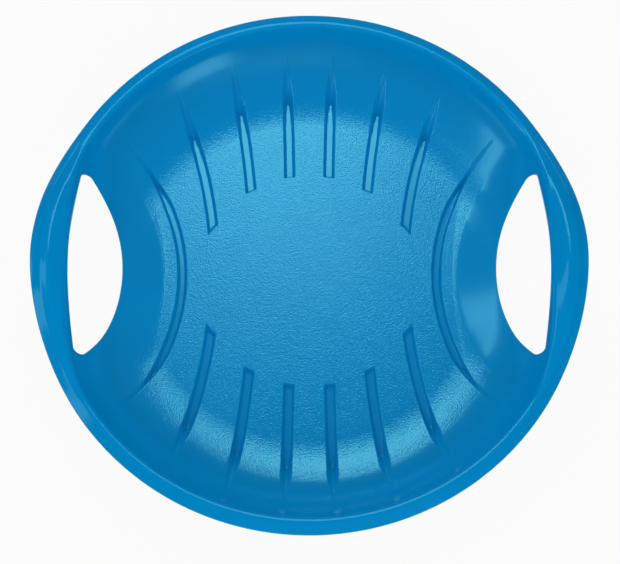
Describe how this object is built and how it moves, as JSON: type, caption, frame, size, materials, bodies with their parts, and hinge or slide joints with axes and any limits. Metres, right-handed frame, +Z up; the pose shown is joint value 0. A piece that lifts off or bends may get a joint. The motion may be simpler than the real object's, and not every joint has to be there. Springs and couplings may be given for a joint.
{
  "type": "saucer sled",
  "caption": "Round saucer sled: a moulded dish with ribs, a rolled rim and two arched rims with hand holes.",
  "frame": {"origin": "centre of the base, on the ground under the ribs' ridges", "axes": "+Z up out of the dish, +X through the right handle, +Y to the rear; the picture looks along +Y and down"},
  "size_m": [0.66, 0.6598, 0.1184],
  "materials": {
    "dish_hdpe": "fine moulded grain on blue polyethylene",
    "rim_hdpe": "smooth glossy blue polyethylene"
  },
  "bodies": {
    "root": {"floor": "dish_hdpe", "rear_wall": "dish_hdpe", "front_wall": "dish_hdpe", "left_side_wall": "dish_hdpe", "right_side_wall": "dish_hdpe", "rear_rim": "rim_hdpe", "front_rim": "rim_hdpe", "left_handle": "rim_hdpe", "right_handle": "rim_hdpe", "rear_rib_1": "dish_hdpe", "rear_rib_2": "dish_hdpe", "rear_rib_3": "dish_hdpe", "rear_rib_4": "dish_hdpe", "rear_rib_5": "dish_hdpe", "rear_rib_6": "dish_hdpe", "front_rib_1": "dish_hdpe", "front_rib_2": "dish_hdpe", "front_rib_3": "dish_hdpe", "front_rib_4": "dish_hdpe", "front_rib_5": "dish_hdpe", "front_rib_6": "dish_hdpe", "left_side_rib": "dish_hdpe", "right_side_rib": "dish_hdpe"}
  },
  "joints": []
}
